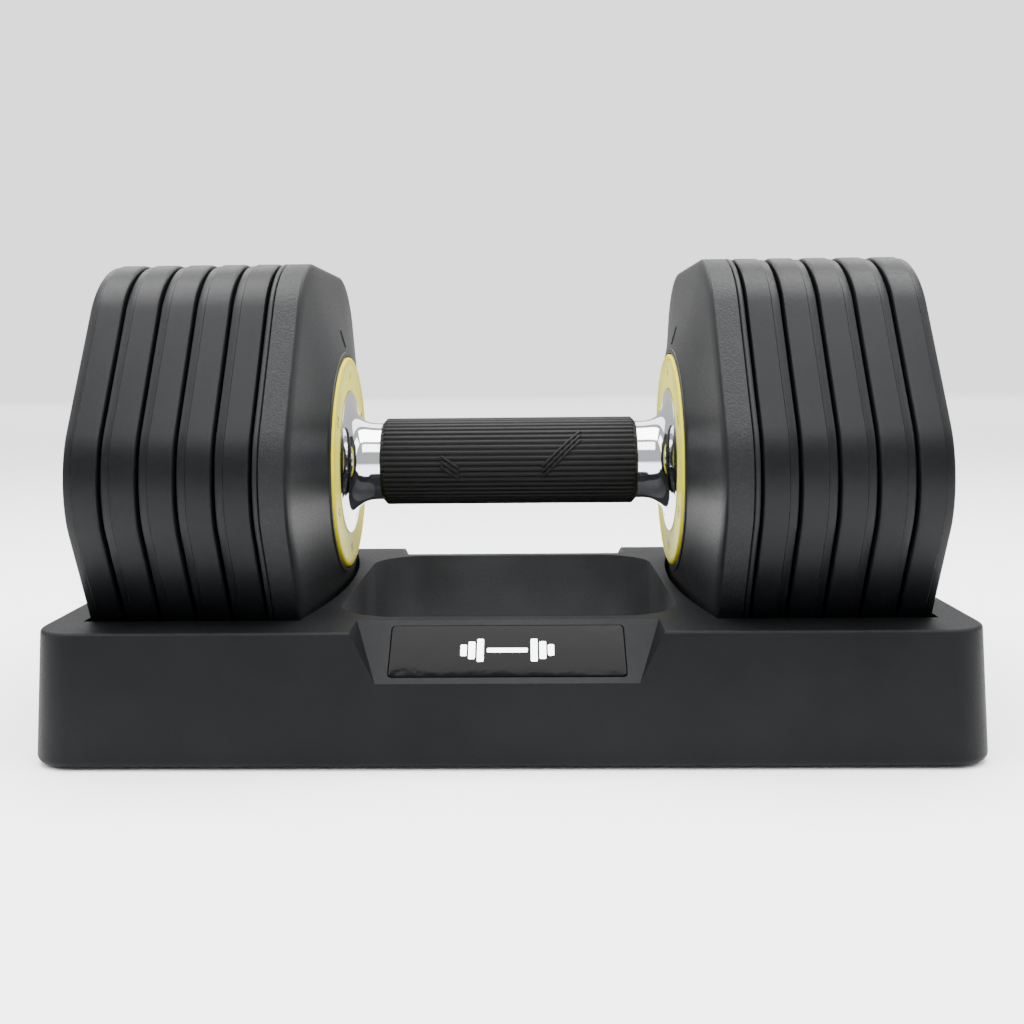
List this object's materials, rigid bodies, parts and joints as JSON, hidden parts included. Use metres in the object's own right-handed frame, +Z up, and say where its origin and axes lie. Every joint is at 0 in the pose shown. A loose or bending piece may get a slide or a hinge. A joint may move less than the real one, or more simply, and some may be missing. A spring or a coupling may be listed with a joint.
{
  "type": "adjustable dumbbell",
  "caption": "Adjustable dumbbell with hexagonal heads and stacked hexagonal plates, a twist grip with yellow dial rings, standing in a black storage tray",
  "frame": {"origin": "centre of the tray's footprint, on the surface it stands on", "axes": "+X along the handle towards the right-hand stack, +Y to the back, away from the badge, +Z up"},
  "size_m": [0.398, 0.221, 0.213],
  "materials": {
    "tray_plastic": "fine moulded texture, satin",
    "head_plastic": "smooth satin cone, grained rim band",
    "plate_plastic": "satin moulded",
    "badge_gloss": "polished black",
    "dial_yellow": "glossy printed ring",
    "chrome": "polished plating",
    "grip_rubber": "fine lengthwise ribs",
    "foot_rubber": "matt",
    "weight_steel": "as cut, oiled",
    "steel": "turned",
    "bronze": "machined bush"
  },
  "bodies": {
    "tray": {"tray_shell": "tray_plastic", "base_pan": "tray_plastic", "badge_plate": "badge_gloss", "foot_1": "foot_rubber", "foot_2": "foot_rubber", "foot_3": "foot_rubber", "foot_4": "foot_rubber", "base_screw_1": "steel", "base_screw_2": "steel", "base_screw_3": "steel", "base_screw_4": "steel"},
    "frame": {"guide_tube": "steel", "head_shell_left": "head_plastic", "head_shell_right": "head_plastic", "head_core_left": "weight_steel", "head_core_right": "weight_steel", "head_cover_left": "head_plastic", "head_cover_right": "head_plastic", "bush_left": "bronze", "bush_right": "bronze", "guide_nut_left": "steel", "guide_nut_right": "steel", "click_spring_left": "steel", "click_spring_right": "steel", "lock_spring_left": "steel", "lock_spring_right": "steel"},
    "handle": {"grip_sleeve": "grip_rubber", "handle_tube": "steel", "cam_sleeve": "steel", "collar_left": "chrome", "collar_right": "chrome", "dial_ring_left": "dial_yellow", "dial_ring_right": "dial_yellow"},
    "lock_rod_left": {"lock_rod_left": "steel", "follower_pin_left": "steel"},
    "lock_slider_left": {"lock_slider_left": "steel"},
    "plate_left_1": {"plate_shell_left_1": "plate_plastic", "plate_core_left_1": "weight_steel"},
    "plate_left_2": {"plate_shell_left_2": "plate_plastic", "plate_core_left_2": "weight_steel"},
    "plate_left_3": {"plate_shell_left_3": "plate_plastic", "plate_core_left_3": "weight_steel"},
    "plate_left_4": {"plate_shell_left_4": "plate_plastic", "plate_core_left_4": "weight_steel"},
    "plate_left_5": {"plate_shell_left_5": "plate_plastic", "plate_core_left_5": "weight_steel"},
    "lock_rod_right": {"lock_rod_right": "steel", "follower_pin_right": "steel"},
    "lock_slider_right": {"lock_slider_right": "steel"},
    "plate_right_1": {"plate_shell_right_1": "plate_plastic", "plate_core_right_1": "weight_steel"},
    "plate_right_2": {"plate_shell_right_2": "plate_plastic", "plate_core_right_2": "weight_steel"},
    "plate_right_3": {"plate_shell_right_3": "plate_plastic", "plate_core_right_3": "weight_steel"},
    "plate_right_4": {"plate_shell_right_4": "plate_plastic", "plate_core_right_4": "weight_steel"},
    "plate_right_5": {"plate_shell_right_5": "plate_plastic", "plate_core_right_5": "weight_steel"}
  },
  "joints": [
    {"name": "lift_out", "type": "slide", "parent": "tray", "child": "frame", "axis": [0, 0, 1], "range_m": [0, 0.25]},
    {"name": "twist", "type": "hinge", "parent": "frame", "child": "handle", "pos_m": [0, 0, 0.1174], "axis": [1, 0, 0], "range_deg": [0, 300], "deforming": ["click_spring_left", "click_spring_right"]},
    {"name": "rod_left_extend", "type": "slide", "parent": "frame", "child": "lock_rod_left", "axis": [-1, 0, 0], "range_m": [0, 0.0782]},
    {"name": "rod_right_extend", "type": "slide", "parent": "frame", "child": "lock_rod_right", "axis": [1, 0, 0], "range_m": [0, 0.0782]},
    {"name": "slider_left_drop", "type": "slide", "parent": "frame", "child": "lock_slider_left", "axis": [0, 0, -1], "range_m": [0, 0.005], "deforming": ["lock_spring_left"]},
    {"name": "slider_right_drop", "type": "slide", "parent": "frame", "child": "lock_slider_right", "axis": [0, 0, -1], "range_m": [0, 0.005], "deforming": ["lock_spring_right"]},
    {"name": "plate_left_1_lift", "type": "slide", "parent": "tray", "child": "plate_left_1", "axis": [0, 0, 1], "range_m": [0, 0.25]},
    {"name": "plate_left_2_lift", "type": "slide", "parent": "tray", "child": "plate_left_2", "axis": [0, 0, 1], "range_m": [0, 0.25]},
    {"name": "plate_left_3_lift", "type": "slide", "parent": "tray", "child": "plate_left_3", "axis": [0, 0, 1], "range_m": [0, 0.25]},
    {"name": "plate_left_4_lift", "type": "slide", "parent": "tray", "child": "plate_left_4", "axis": [0, 0, 1], "range_m": [0, 0.25]},
    {"name": "plate_left_5_lift", "type": "slide", "parent": "tray", "child": "plate_left_5", "axis": [0, 0, 1], "range_m": [0, 0.25]},
    {"name": "plate_right_1_lift", "type": "slide", "parent": "tray", "child": "plate_right_1", "axis": [0, 0, 1], "range_m": [0, 0.25]},
    {"name": "plate_right_2_lift", "type": "slide", "parent": "tray", "child": "plate_right_2", "axis": [0, 0, 1], "range_m": [0, 0.25]},
    {"name": "plate_right_3_lift", "type": "slide", "parent": "tray", "child": "plate_right_3", "axis": [0, 0, 1], "range_m": [0, 0.25]},
    {"name": "plate_right_4_lift", "type": "slide", "parent": "tray", "child": "plate_right_4", "axis": [0, 0, 1], "range_m": [0, 0.25]},
    {"name": "plate_right_5_lift", "type": "slide", "parent": "tray", "child": "plate_right_5", "axis": [0, 0, 1], "range_m": [0, 0.25]}
  ],
  "couplings": [
    {"joint": "rod_left_extend", "follows": "twist", "m_per_rad": 0.014935},
    {"joint": "rod_right_extend", "follows": "twist", "m_per_rad": 0.014935},
    {"joint": "slider_left_drop", "follows": "lift_out", "ratio": 0.02},
    {"joint": "slider_right_drop", "follows": "lift_out", "ratio": 0.02}
  ]
}
